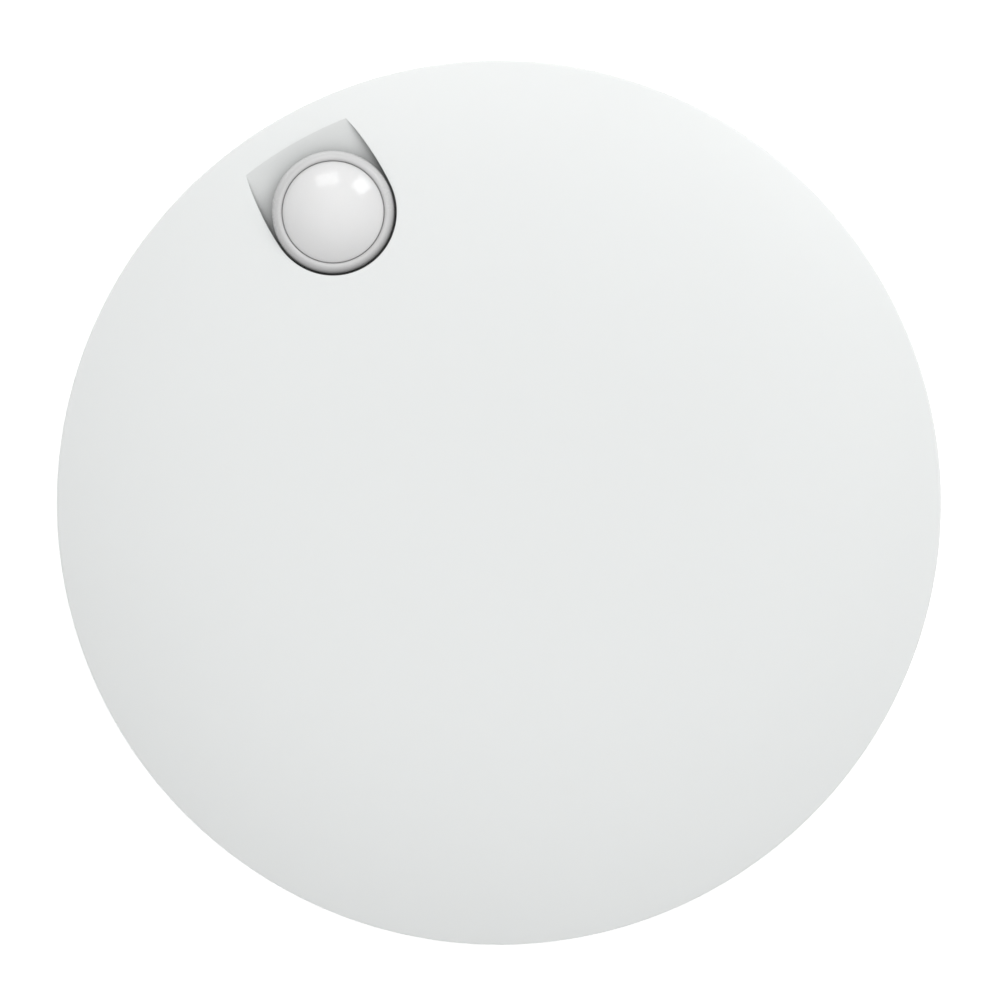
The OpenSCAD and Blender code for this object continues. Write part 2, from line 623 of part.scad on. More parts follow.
module board_pins() color("gold") at_sensor() for (x = [-3:2:3])
    translate([x - 0.3, 15.7, power_board_top]) cube([0.6, 0.6, ledge_z - power_board_top]);

module adjuster_bodies() color("white") at_sensor() for (x = adjuster_x)
    translate([x - 4, adjuster_y - 4, power_board_top]) difference() {
        cube([8, 8, adjuster_body_h]);
        translate([4, 4, 1.5]) cylinder(r = shaft_r + 0.08, h = adjuster_body_h);
    }

module knob(x) at_sensor() translate([x, adjuster_y, 0]) rotate([0, 0, adjuster_turn]) {
    foot = power_board_top + 2;
    translate([0, 0, foot]) cylinder(r = shaft_r, h = knob_z - foot + eps);
    translate([0, 0, knob_z]) difference() {
        rotate_extrude() polygon(concat([[0, 0], [knob_r, 0], [knob_r, knob_h - 0.8]],
            arc([knob_r - 0.8, knob_h - 0.8], 0.8, 0, 90, 5), [[0, knob_h]]));
        translate([-3, -0.5, knob_h - 1.2]) cube([6, 1, 3]);
        for (a = [0:30:330]) rotate([0, 0, a]) translate([knob_r + 0.15, 0, -1])
            cylinder(r = 0.5, h = knob_h - 0.4);
    }
}

module knob_sensitivity() color("orange") knob(adjuster_x[0]);
module knob_time() color("orange") knob(adjuster_x[1]);
module knob_light() color("orange") knob(adjuster_x[2]);

// ---- Cover ----

function outer_profile() = concat(
    [for (i = [0:dome_steps]) let (r = dome_end_r * pow(i / dome_steps, 0.75)) [r, dome_z(r)]],
    [for (i = [1:rim_steps]) let (a = (90 - rim_tilt) * (1 - i / rim_steps))
        [dome_end_r - rim_round * sin(rim_tilt), dome_z(dome_end_r) - rim_round * cos(rim_tilt)]
            + rim_round * [cos(a), sin(a)]]);

module cover_shell() rotate_extrude($fn = 180) polygon(concat(
    outer_profile(),
    [[cover_r, skirt_z], [skirt_inner_r, skirt_z], [skirt_inner_r, bead_z],
        [skirt_inner_r - bead_in, bead_z + bead_h / 2 - 0.4],
        [skirt_inner_r - bead_in, bead_z + bead_h / 2 + 0.4],
        [skirt_inner_r, bead_z + bead_h]],
    [for (i = [dome_steps:-1:0]) let (r = skirt_inner_r * pow(i / dome_steps, 0.75)) [r, inner_dome_z(r)]]));

// Everything under the outside of the dome and above the underside of the pocket's floor
module under_dome() intersection() {
    rotate_extrude($fn = 180) polygon(concat([[0, 0]], outer_profile(), [[cover_r, 0]]));
    translate([-cover_r, -cover_r, pocket_under_z]) cube([2 * cover_r, 2 * cover_r, crown_h]);
}

module pocket_prism(grow, z0) at_sensor() translate([0, 0, z0])
    linear_extrude(crown_h) polygon(pocket_outline(grow));

module cover() color("white") difference() {
    union() {
        cover_shell();
        intersection() {
            under_dome();
            pocket_prism(cover_t, 0);
        }
    }
    pocket_prism(0, pocket_floor_z);
    at_sensor() cylinder(r = collar_r, h = 2 * crown_h, $fn = 128);
}

// Collar round the lens, pressed into the floor of the cover's pocket from below
module lens_collar() color("white") at_sensor() rotate_extrude($fn = 128)
    polygon(concat([[collar_inner_r, pocket_under_z - collar_flange_t],
        [collar_r + collar_flange_w, pocket_under_z - collar_flange_t],
        [collar_r + collar_flange_w, pocket_under_z], [collar_r, pocket_under_z]],
        [for (p = arc([0, 0], 1, 0, 90, 14)) [collar_r, collar_top] - collar_shoulder
            + [collar_shoulder[0] * p[0], collar_shoulder[1] * p[1]]],
        arc([collar_bore_r + collar_lip_round, collar_top - collar_lip_round], collar_lip_round, 90, 180, 6),
        [[collar_bore_r, collar_top - 3.8], [collar_inner_r, collar_top - 3.8]]));

module cover_gasket() color("gainsboro") at_sensor()
    ring(collar_r + collar_flange_w, collar_inner_r, pocket_under_z - collar_flange_t - 0.6,
        pocket_under_z - collar_flange_t);

// ---- Nodes ----

base_pan();
rim_seal();
cable_grommet();
cover_clips();
clip_rivets();
tray_standoffs();
gear_tray();
tray_screws();
led_board();
led_chips();
led_lenses();
board_rivets();
board_connector();
driver_case();
driver_lid();
driver_board();
driver_transformer();
driver_capacitors();
driver_screws();
terminal_body();
terminal_clamps();
button_live();
button_neutral();
button_earth();
earth_stud();
earth_nut();
earth_lug();
wire_earth();
wire_live();
wire_neutral();
wire_switched();
wire_driver_neutral();
led_leads();
wire_saddles();
sensor_tub();
sensor_lid();
lid_screws();
tub_screws();
shoulder_gasket();
pir_lens();
lens_ring();
head_board();
pyro_can();
pyro_window();
light_cell();
status_led();
power_board();
relay();
supply_capacitor();
sensor_socket();
board_pins();
adjuster_bodies();
knob_sensitivity();
knob_time();
knob_light();
cover();
lens_collar();
cover_gasket();
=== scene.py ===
import json
import math

import bpy
import numpy as np
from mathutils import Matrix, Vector


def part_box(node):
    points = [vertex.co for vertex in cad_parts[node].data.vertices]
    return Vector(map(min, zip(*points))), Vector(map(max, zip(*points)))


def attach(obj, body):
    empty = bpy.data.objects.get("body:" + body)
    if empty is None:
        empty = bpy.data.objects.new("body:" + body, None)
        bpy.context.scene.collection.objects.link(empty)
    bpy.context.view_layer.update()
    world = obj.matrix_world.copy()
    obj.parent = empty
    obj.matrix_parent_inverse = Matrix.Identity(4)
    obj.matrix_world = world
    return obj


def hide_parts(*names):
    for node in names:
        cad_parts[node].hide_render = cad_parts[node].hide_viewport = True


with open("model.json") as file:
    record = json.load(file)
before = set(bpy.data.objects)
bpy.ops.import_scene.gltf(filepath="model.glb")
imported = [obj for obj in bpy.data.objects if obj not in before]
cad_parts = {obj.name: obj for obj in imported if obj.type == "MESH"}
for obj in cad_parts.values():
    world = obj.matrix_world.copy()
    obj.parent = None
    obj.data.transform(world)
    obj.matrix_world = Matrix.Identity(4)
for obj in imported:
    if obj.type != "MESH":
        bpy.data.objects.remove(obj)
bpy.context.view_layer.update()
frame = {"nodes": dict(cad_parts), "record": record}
MM = 0.001

# ---------------------------------------- places and sizes, in millimetres
low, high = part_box("pir_lens")
SENSOR = np.array([(low.x + high.x) / 2, (low.y + high.y) / 2]) / MM
SENSOR_R = float(np.hypot(*SENSOR))
OUT = SENSOR / SENSOR_R                     # unit vector from the centre of the light to the sensor
ASIDE = np.array([-OUT[1], OUT[0]])

COVER_R, CROWN_H, DOME_DROP, DOME_POWER = 165.0, 52.0, 16.0, 4.0
COVER_T, RIM_ROUND, SKIRT_Z = 2.0, 1.5, 2.0
SKIRT_IN_R, BEAD_Z, BEAD_H, BEAD_IN = 163.0, 13.0, 2.6, 1.8
POCKET_EDGE_R, POCKET_R, POCKET_SIDE_R, LEAVE = 154.2, 23.6, 110.0, math.radians(93.7)
COLLAR_R, COLLAR_TOP, COLLAR_SHOULDER, COLLAR_IN_R = 22.9, 49.5, (2.8, 4.4), 22.0
COLLAR_GAP, COLLAR_LIP_DEPTH = 0.12, 3.8     # round the lens, and down from the crest
COLLAR_FLANGE_W, COLLAR_FLANGE_T = 1.7, 1.2  # the flange that lies under the pocket's floor
LENS_R, LENS_RISE, LENS_T = 18.95, 6.3, 0.9
LENS_EDGE_DROP, LENS_FLANGE_DROP = 0.6, 6.4  # of the lens's edge and flange below the collar's crest
LENS_EDGE = [(0.35, 0.3), (0.1, 0.65), (0.0, 1.1)]  # rounding of the edge: inwards from LENS_R, and down
LENS_FLANGE_R, LENS_FLANGE_T = 20.7, 1.2
TURN_STEPS = 288


def dome_z(r):
    return CROWN_H - DOME_DROP * (np.asarray(r) / COVER_R) ** DOME_POWER


def dome_slope(r):
    return DOME_DROP * DOME_POWER * (np.asarray(r) / COVER_R) ** (DOME_POWER - 1) / COVER_R


def inner_dome_z(r):
    return dome_z(r) - COVER_T * np.sqrt(1 + dome_slope(r) ** 2)


FLOOR_Z = float(dome_z(POCKET_EDGE_R))
UNDER_Z = FLOOR_Z - COVER_T


# ---------------------------------------- materials
class Nodes:
    """A small helper that adds linked shader nodes to one material."""

    def __init__(self, name):
        self.material = bpy.data.materials.new(name)
        self.material.use_nodes = True
        self.tree = self.material.node_tree
        self.shader = self.tree.nodes["Principled BSDF"]
        self.point = self.add("ShaderNodeTexCoord").outputs["Object"]

    def add(self, kind, **values):
        node = self.tree.nodes.new(kind)
        for key, value in values.items():
            if hasattr(node, key):
                setattr(node, key, value)
            else:
                node.inputs[key].default_value = value
        return node

    def link(self, source, target):
        self.tree.links.new(source, target)

    def noise(self, scale, detail=4.0, roughness=0.55, stretch=None):
        texture = self.add("ShaderNodeTexNoise", Scale=scale, Detail=detail, Roughness=roughness)
        self.link(self.stretched(stretch), texture.inputs["Vector"])
        return texture.outputs["Fac"]

    def stretched(self, stretch):
        if stretch is None:
            return self.point
        mapping = self.add("ShaderNodeMapping", Scale=stretch)
        self.link(self.point, mapping.inputs["Vector"])
        return mapping.outputs["Vector"]

    def span(self, value, low, high, from_low=0.3, from_high=0.7):
        node = self.add("ShaderNodeMapRange")
        limits = {"From Min": from_low, "From Max": from_high, "To Min": low, "To Max": high}
        for key, number in limits.items():
            node.inputs[key].default_value = number
        self.link(value, node.inputs["Value"])
        return node.outputs["Result"]

    def blend(self, factor, first, second):
        node = self.add("ShaderNodeMix", data_type="RGBA")
        for socket, value in ((node.inputs[6], first), (node.inputs[7], second)):
            if isinstance(value, bpy.types.NodeSocket):
                self.link(value, socket)
            else:
                socket.default_value = (*value[:3], 1)
        self.link(factor, node.inputs[0])
        return node.outputs[2]

    def bump(self, height, strength, distance):
        node = self.add("ShaderNodeBump", Strength=strength, Distance=distance)
        self.link(height, node.inputs["Height"])
        return node.outputs["Normal"]


def shade(colour, amount):
    return tuple(max(0.0, min(1.0, c * amount)) for c in colour[:3])


DUST_SHADE = 0.72
# The first pair: the ambient-occlusion range over which painted shade fades in closed-in places; the second:
# how sharp an edge must be to show wear
CREVICE_SHADE_OPEN, EDGE_WORN = (0.15, 0.95), (0.53, 0.62)


def surface(name, colour, rough=0.4, rough_vary=0.06, colour_vary=0.04, grain=2500.0, grain_depth=0.00002,
            patch=35.0, metallic=0.0, stretch=None, wear=None, dust=0.0, painted_shade_area=None, painted_crevice_shade=None,
            **shader):
    """A moulded, painted or metal surface: fine grain, slow changes of colour and roughness, and worn edges.

    One argument names a mesh attribute and a painted shade, darkening the colour where it is 1; another gives
    a reach in metres and a painted shade, darkening the colour of the most closed-in places found by ambient
    occlusion.
    """
    n = Nodes(name)
    slow = n.noise(patch, 5.0)
    fine = n.noise(grain, 2.0, 0.5, stretch)
    tint = n.blend(n.span(slow, 0, 1), shade(colour, 1 - colour_vary), shade(colour, 1 + colour_vary))
    if dust:
        tint = n.blend(n.span(n.noise(patch * 9, 6.0, 0.7), 0, dust, 0.45, 0.75), tint,
                       shade(colour, DUST_SHADE))
    # Painted shade: the colour is darkened where the mesh attribute is 1.
    if painted_shade_area:
        mark, level = painted_shade_area
        inside = n.add("ShaderNodeAttribute", attribute_name=mark).outputs["Fac"]
        tint = n.blend(inside, tint, shade(colour, level))
    # Painted shade: the colour is darkened where ambient occlusion finds the surface closed in.
    if painted_crevice_shade:
        reach, darkest = painted_crevice_shade
        openness = n.add("ShaderNodeAmbientOcclusion", samples=6, Distance=reach).outputs["AO"]
        tint = n.blend(n.span(openness, 0, 1, *CREVICE_SHADE_OPEN), shade(colour, darkest), tint)
    if wear:
        edge = n.span(n.add("ShaderNodeNewGeometry").outputs["Pointiness"], 0, 1, *EDGE_WORN)
        tint = n.blend(edge, tint, wear)
    n.link(tint, n.shader.inputs["Base Color"])
    both = n.add("ShaderNodeMath", operation="ADD")
    n.link(n.span(slow, rough - rough_vary, rough + rough_vary), both.inputs[0])
    n.link(n.span(fine, -rough_vary / 2, rough_vary / 2), both.inputs[1])
    n.link(both.outputs[0], n.shader.inputs["Roughness"])
    n.link(n.bump(fine, 0.5, grain_depth), n.shader.inputs["Normal"])
    n.shader.inputs["Metallic"].default_value = metallic
    for key, value in shader.items():
        n.shader.inputs[key.replace("_", " ")].default_value = value
    return n


def opal_cover():
    # Painted shade on the cover: colour darkened to 0.88 on the pocket's floor and down to 0.43 in closed-in
    # places.
    n = surface("opal_polycarbonate", (0.768, 0.784, 0.779), rough=0.42, rough_vary=0.03, colour_vary=0.006,
                grain=1600.0, grain_depth=0.000012, patch=9.0, painted_shade_area=("pocket_floor_shade", 0.88),
                painted_crevice_shade=(0.03, 0.43), IOR=1.55, Subsurface_Weight=0.25,
                Subsurface_Radius=(1.0, 0.95, 0.9), Subsurface_Scale=0.003)
    return n.material


def milky_lens():
    # Painted shade: colour darkened down to 0.8 in the groove round the lens and other closed-in places.
    n = surface("milky_polyethylene", (0.755, 0.755, 0.755), rough=0.14, rough_vary=0.03, colour_vary=0.008,
                grain=900.0, grain_depth=0.000006, patch=60.0, painted_crevice_shade=(0.006, 0.8), IOR=1.53,
                Subsurface_Weight=0.35, Subsurface_Radius=(1.0, 0.95, 0.9), Subsurface_Scale=0.0012)
    return n.material


def circuit_board(name, mask, trace):
    n = Nodes(name)
    bricks = n.add("ShaderNodeTexBrick", Scale=90.0)
    bricks.inputs["Mortar Size"].default_value = 0.035
    bricks.inputs["Color1"].default_value = (0, 0, 0, 1)
    bricks.inputs["Color2"].default_value = (0, 0, 0, 1)
    bricks.inputs["Mortar"].default_value = (1, 1, 1, 1)
    n.link(n.point, bricks.inputs["Vector"])
    value = n.span(bricks.outputs["Fac"], 0, 1, 0, 1)
    n.link(n.blend(value, mask, trace), n.shader.inputs["Base Color"])
    n.link(n.span(n.noise(120.0), 0.28, 0.4), n.shader.inputs["Roughness"])
    n.link(n.bump(value, 0.5, 0.00003), n.shader.inputs["Normal"])
    return n.material


def clear_plastic():
    n = surface("clear_acrylic", (0.96, 0.98, 0.99), rough=0.06, rough_vary=0.02, colour_vary=0.01,
                grain=1500.0, grain_depth=0.000004, IOR=1.49, Transmission_Weight=0.92)
    return n.material


def striped_wire():
    n = surface("green_yellow_insulation", (0.25, 0.5, 0.08), rough=0.35)
    wave = n.add("ShaderNodeTexWave", Scale=260.0, Distortion=0.0)
    n.link(n.point, wave.inputs["Vector"])
    tint = n.blend(n.span(wave.outputs["Fac"], 0, 1, 0.45, 0.55), (0.06, 0.3, 0.05), (0.75, 0.68, 0.05))
    n.link(tint, n.shader.inputs["Base Color"])
    return n.material


GREY_STEEL = (0.62, 0.63, 0.65)
LOOKS = {
    "painted_steel": lambda: surface("white_powder_coat", (0.80, 0.81, 0.80), rough=0.45, grain=1400.0,
                                     grain_depth=0.00006, wear=(0.7, 0.7, 0.69), dust=0.15).material,
    "seal_foam": lambda: surface("grey_foam", (0.62, 0.63, 0.63), rough=0.85, grain=1800.0,
                                 grain_depth=0.0002, colour_vary=0.1).material,
    "grommet_rubber": lambda: surface("black_rubber", (0.03, 0.03, 0.03), rough=0.6, grain=1500.0,
                                      grain_depth=0.00005, dust=0.4).material,
    "spring_steel": lambda: surface("spring_steel", GREY_STEEL, rough=0.25, metallic=1.0, stretch=(1, 12, 1),
                                    wear=(0.8, 0.8, 0.8)).material,
    "zinc_steel": lambda: surface("bright_zinc", (0.66, 0.67, 0.70), rough=0.3, metallic=1.0,
                                  colour_vary=0.12, patch=220.0, wear=(0.85, 0.85, 0.85)).material,
    "white_board": lambda: circuit_board("white_circuit_board", (0.86, 0.87, 0.85), (0.80, 0.81, 0.79)),
    "led_phosphor": lambda: surface("phosphor_gel", (0.85, 0.68, 0.16), rough=0.3, grain=6000.0,
                                    colour_vary=0.1).material,
    "clear_lens": clear_plastic,
    "white_nylon": lambda: surface("white_nylon", (0.82, 0.82, 0.79), rough=0.4, dust=0.1).material,
    "ivory_nylon": lambda: surface("ivory_nylon", (0.74, 0.69, 0.56), rough=0.42, dust=0.1).material,
    "white_plastic": lambda: surface("white_case", (0.78, 0.79, 0.79), rough=0.5, grain_depth=0.00005,
                                     dust=0.12).material,
    "green_board": lambda: circuit_board("green_circuit_board", (0.01, 0.13, 0.05), (0.03, 0.24, 0.09)),
    "ferrite_tape": lambda: surface("winding_tape", (0.7, 0.5, 0.08), rough=0.3, stretch=(1, 1, 30)).material,
    "capacitor_sleeve": lambda: surface("shrink_sleeve", (0.03, 0.035, 0.06), rough=0.25).material,
    "tinned_brass": lambda: surface("bright_brass", (0.74, 0.6, 0.3), rough=0.25, metallic=1.0,
                                    patch=160.0, wear=(0.9, 0.8, 0.5)).material,
    "brown_plastic": lambda: surface("brown_moulding", (0.13, 0.055, 0.02), rough=0.3).material,
    "blue_plastic": lambda: surface("blue_moulding", (0.03, 0.13, 0.42), rough=0.3).material,
    "green_yellow_plastic": lambda: surface("green_moulding", (0.2, 0.42, 0.05), rough=0.3).material,
    "green_yellow_wire": striped_wire,
    "brown_wire": lambda: surface("brown_insulation", (0.12, 0.045, 0.018), rough=0.36).material,
    "blue_wire": lambda: surface("blue_insulation", (0.025, 0.1, 0.36), rough=0.36).material,
    "black_wire": lambda: surface("black_insulation", (0.02, 0.02, 0.02), rough=0.36).material,
    "red_wire": lambda: surface("red_insulation", (0.4, 0.02, 0.02), rough=0.36).material,
    "sensor_plastic": lambda: surface("sensor_abs", (0.75, 0.77, 0.77), rough=0.42, grain_depth=0.00003,
                                      dust=0.08).material,
    # Painted shade: colour darkened down to 0.8 where the collar is closed in.
    "collar_plastic": lambda: surface("collar_abs", (0.58, 0.58, 0.58), rough=0.26, rough_vary=0.03,
                                      painted_crevice_shade=(0.01, 0.8), colour_vary=0.008, grain=1600.0,
                                      grain_depth=0.00001, IOR=1.52, Subsurface_Weight=0.12,
                                      Subsurface_Radius=(1.0, 0.95, 0.9), Subsurface_Scale=0.0015).material,
    "milky_lens": milky_lens,
    "nickel_can": lambda: surface("nickel_can", (0.7, 0.68, 0.64), rough=0.18, metallic=1.0).material,
    "dark_window": lambda: surface("infrared_window", (0.02, 0.02, 0.025), rough=0.12).material,
    "light_cell": lambda: surface("light_cell", (0.5, 0.22, 0.07), rough=0.4).material,
    "red_led": lambda: surface("red_epoxy", (0.5, 0.03, 0.02), rough=0.15, Transmission_Weight=0.3).material,
    "relay_blue": lambda: surface("relay_case", (0.05, 0.14, 0.42), rough=0.3).material,
    "gold_pins": lambda: surface("gold_flash", (0.85, 0.64, 0.25), rough=0.22, metallic=1.0).material,
    "amber_plastic": lambda: surface("amber_moulding", (0.72, 0.22, 0.02), rough=0.3).material,
    "opal_cover": opal_cover,
}
slot_of = {row["node"]: row["material_slot"] for row in frame["record"]["subparts"]}
looks = {slot: make() for slot, make in LOOKS.items()}


# ---------------------------------------- mesh tools
def make_piece(name, points, faces, body, slot, nodes=(), sharp=35.0):
    mesh = bpy.data.meshes.new(name)
    mesh.from_pydata([tuple(p) for p in np.asarray(points) * MM], [], faces)
    mesh.validate()
    mesh.polygons.foreach_set("use_smooth", [True] * len(mesh.polygons))
    mesh.set_sharp_from_angle(angle=math.radians(sharp))
    mesh.materials.append(looks[slot])
    piece = bpy.data.objects.new(name, mesh)
    bpy.context.scene.collection.objects.link(piece)
    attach(piece, body)
    if nodes:
        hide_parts(*nodes)
    return piece


def loft(loops, closed):
    """Quads between rings of points with the same count; closed joins the last ring to the first."""
    count = len(loops[0])
    points = np.concatenate(loops)
    faces = []
    for i in range(len(loops) if closed else len(loops) - 1):
        a, b = i * count, (i + 1) % len(loops) * count
        for k in range(count):
            m = (k + 1) % count
            faces.append((a + k, a + m, b + m, b + k))
    return points, faces


def at_sensor(x, y, z):
    """Points given from the sensor's axis (x outwards) as points of the whole light."""
    x, y, z = np.broadcast_arrays(np.asarray(x, float), np.asarray(y, float), np.asarray(z, float))
    plan = SENSOR + x[..., None] * OUT + y[..., None] * ASIDE
    return np.concatenate([plan, z[..., None]], axis=-1)


def arc(centre, r, start, end, steps):
    return [(centre[0] + r * math.cos(math.radians(a)), centre[1] + r * math.sin(math.radians(a)))
            for a in np.linspace(start, end, steps + 1)]


def turned(profile, count=256, centre=(0.0, 0.0), closed=True):
    """A surface of revolution from (radius, height) pairs."""
    angle = np.linspace(0, 2 * math.pi, count, endpoint=False)
    loops = [np.stack([centre[0] + r * np.cos(angle), centre[1] + r * np.sin(angle), np.full(count, z)], 1)
             for r, z in profile]
    return loft(loops, closed)


# ---------------------------------------- opal cover with its D-shaped pocket
COLUMNS = 432
POCKET_LOOPS = 16                            # the first loops of the cover are the pocket's floor
FILLET_R, FILLET_SHARE = 1.7, 0.6            # at the foot of the pocket's wall
LIP_ROUND, LIP_ROUND_SHARE = (0.02, 0.3), 0.2
WALL_LEAN, LIP_SINK = 0.04, 0.3
OPEN_BLEND, SOFT_EDGE = 0.12, 0.3            # where the floor runs out through the dome
SKIRT_LOOPS, INNER_LOOPS, SKIRT_EDGE_R, BEAD_FLAT = (28, 20, 12, 5), (24, 31), 0.5, 0.4
UNDER_EDGE_IN, UNDER_GAP, UNDER_STEP = 0.6, 0.05, 0.02
DOME_LOOPS, UNDER_LOOPS = 57, 37
side_centre = -(POCKET_SIDE_R - POCKET_R) * np.array([math.cos(LEAVE), math.sin(LEAVE)])


def to_circle(t, r, centre_x=-SENSOR_R):
    """How far a ray from the sensor's axis at angle t goes to a circle about the light's centre."""
    along = np.cos(t) * centre_x
    return along + np.sqrt(along ** 2 - centre_x ** 2 + r ** 2)


def to_side(t, grow):
    up = np.abs(t)
    along = np.cos(up) * side_centre[0] + np.sin(up) * side_centre[1]
    return along + np.sqrt(along ** 2 - side_centre @ side_centre + (POCKET_SIDE_R + grow) ** 2)


def pocket_edge(t, grow, edge_r):
    """Distance from the sensor's axis to the pocket's outline: round end, two long sides and outer arc."""
    sides = np.where(np.abs(t) > LEAVE, POCKET_R + grow, to_side(np.clip(t, -LEAVE, LEAVE), grow))
    return np.minimum(sides, to_circle(t, edge_r))


def soft_min(a, b, k):
    mix = np.clip(0.5 + 0.5 * (b - a) / k, 0, 1)
    return b * (1 - mix) + a * mix - k * mix * (1 - mix)


def smooth_step(x, low, high):
    s = np.clip((x - low) / (high - low), 0, 1)
    return s * s * (3 - 2 * s)


def corner_angle():
    low, high = 0.2, 1.4
    for _ in range(50):
        middle = (low + high) / 2
        if to_circle(middle, POCKET_EDGE_R) < to_side(middle, 0):
            low = middle
        else:
            high = middle
    return low


def cover_loops():
    t = np.linspace(-math.pi, math.pi, COLUMNS, endpoint=False)
    corner = corner_angle()
    for target in (corner, -corner, LEAVE, -LEAVE):
        t[np.argmin(np.abs(t - target))] = target
    ca, sa = np.cos(t), np.sin(t)

    def local(d, z):
        return at_sensor(d * ca, d * sa, z)

    def centre_r(d):
        return np.hypot(SENSOR_R + d * ca, d * sa)

    open_side = 1 - smooth_step(np.abs(t), corner - OPEN_BLEND, corner)

    def top_z(d):
        z = dome_z(centre_r(d))
        return z + open_side * (soft_min(z, FLOOR_Z, SOFT_EDGE) - z)

    edge = pocket_edge(t, 0.0, POCKET_EDGE_R)
    height = np.maximum(dome_z(centre_r(edge)) - FLOOR_Z, 0)
    fillet = np.minimum(FILLET_R, (edge - COLLAR_R) * FILLET_SHARE)
    fillet_h = np.minimum(fillet, height * FILLET_SHARE)
    round_r = np.clip(height * LIP_ROUND_SHARE, *LIP_ROUND)
    loops = []
    for s in np.linspace(0, 1, 9):
        d = COLLAR_R + (edge - fillet - COLLAR_R) * s
        loops.append(local(d, np.minimum(FLOOR_Z, top_z(d))))
    for a in np.radians(np.arange(12, 91, 13)):
        d = edge - fillet + fillet * math.sin(a)
        loops.append(local(d, np.minimum(FLOOR_Z + fillet_h * (1 - math.cos(a)), top_z(d))))
    lip = edge + WALL_LEAN
    rounded = top_z(lip + round_r)
    foot = FLOOR_Z + fillet_h * 1.01 - LIP_SINK * open_side
    loops.append(local(lip, np.maximum(rounded - round_r, foot)))
    for a in np.radians((30, 60, 90)):
        loops.append(local(lip + round_r * (1 - math.cos(a)), rounded - round_r * (1 - math.sin(a))))
    start = lip + round_r
    tilt = math.atan(float(dome_slope(COVER_R - RIM_ROUND)))
    end_r = COVER_R - RIM_ROUND * (1 - math.sin(tilt))
    stop = to_circle(t, end_r)
    for s in np.linspace(0, 1, DOME_LOOPS)[1:]:
        share = 0.5 * (0.5 - 0.5 * math.cos(math.pi * s)) + 0.5 * s ** 1.4
        d = start + (stop - start) * share
        loops.append(local(d, top_z(d) if s < 1 else dome_z(end_r)))

    rim = local(stop, 0.0)[:, :2]
    rim_dir = rim / np.linalg.norm(rim, axis=1)[:, None]

    def round_loop(r, z):
        return np.concatenate([rim_dir * r, np.full((len(t), 1), z)], axis=1)

    centre = (end_r - RIM_ROUND * math.sin(tilt), float(dome_z(end_r)) - RIM_ROUND * math.cos(tilt))
    for a in np.linspace(90 - math.degrees(tilt), 0, 10)[1:]:
        a = math.radians(a)
        loops.append(round_loop(centre[0] + RIM_ROUND * math.cos(a), centre[1] + RIM_ROUND * math.sin(a)))
    edge_z, bead_mid = SKIRT_Z + SKIRT_EDGE_R, BEAD_Z + BEAD_H / 2
    skirt = [(COVER_R, z) for z in (*SKIRT_LOOPS, edge_z)]
    skirt += arc((COVER_R - SKIRT_EDGE_R, edge_z), SKIRT_EDGE_R, -15, -90, 4)
    skirt += arc((SKIRT_IN_R + SKIRT_EDGE_R, edge_z), SKIRT_EDGE_R, -90, -180, 4)
    skirt += [(SKIRT_IN_R, BEAD_Z), (SKIRT_IN_R - BEAD_IN, bead_mid - BEAD_FLAT),
              (SKIRT_IN_R - BEAD_IN, bead_mid + BEAD_FLAT), (SKIRT_IN_R, BEAD_Z + BEAD_H)]
    skirt += [(SKIRT_IN_R, z) for z in INNER_LOOPS]
    for r, z in skirt:
        loops.append(round_loop(r, z))
    under = pocket_edge(t, COVER_T, POCKET_EDGE_R - UNDER_EDGE_IN)
    far = to_circle(t, SKIRT_IN_R)
    for s in np.linspace(0, 1, UNDER_LOOPS):
        share = 0.5 * (0.5 - 0.5 * math.cos(math.pi * s)) + 0.5 * s ** 1.3
        d = under + UNDER_GAP + (far - under - UNDER_GAP) * (1 - share)
        z = inner_dome_z(centre_r(d))
        loops.append(local(d, np.maximum(z, UNDER_Z) if s > 0.97 else z))
    loops.append(local(under, np.full(len(t), UNDER_Z + UNDER_STEP)))
    for s in np.linspace(0, 1, 5)[1:]:
        loops.append(local(under + (COLLAR_R - under) * s, np.full(len(t), UNDER_Z)))
    return loops


points, faces = loft(cover_loops(), True)
cover = make_piece("cover_moulding", points, faces, "cover", "opal_cover", ["cover"], sharp=40)
# Painted shade: the cover's loops on the pocket's floor get an attribute of 1, so their colour is darkened
# there.
floor_shade_mask = np.zeros(len(points))
floor_shade_mask[:POCKET_LOOPS * COLUMNS] = 1.0
cover.data.attributes.new("pocket_floor_shade", "FLOAT", "POINT").data.foreach_set("value", floor_shade_mask)

# ---------------------------------------- collar round the lens
collar_bore = LENS_R + COLLAR_GAP
lip = COLLAR_R - COLLAR_SHOULDER[0] - collar_bore
flange_r, flange_z = COLLAR_R + COLLAR_FLANGE_W, UNDER_Z - COLLAR_FLANGE_T
profile = [(COLLAR_IN_R, flange_z), (flange_r, flange_z), (flange_r, UNDER_Z), (COLLAR_R, UNDER_Z),
           (COLLAR_R, FLOOR_Z - 0.3), (COLLAR_R, FLOOR_Z + 4)]
profile += [(COLLAR_R + COLLAR_SHOULDER[0] * (x - 1), COLLAR_TOP + COLLAR_SHOULDER[1] * (z - 1))
            for x, z in arc((0, 0), 1, 0, 90, 24)]
profile += arc((collar_bore + lip, COLLAR_TOP - lip), lip, 92, 180, 14)
profile += [(r, COLLAR_TOP - COLLAR_LIP_DEPTH) for r in (collar_bore, COLLAR_IN_R)]
points, faces = turned(profile, TURN_STEPS, SENSOR)
make_piece("collar", points, faces, "cover", "collar_plastic", ["lens_collar"], sharp=50)

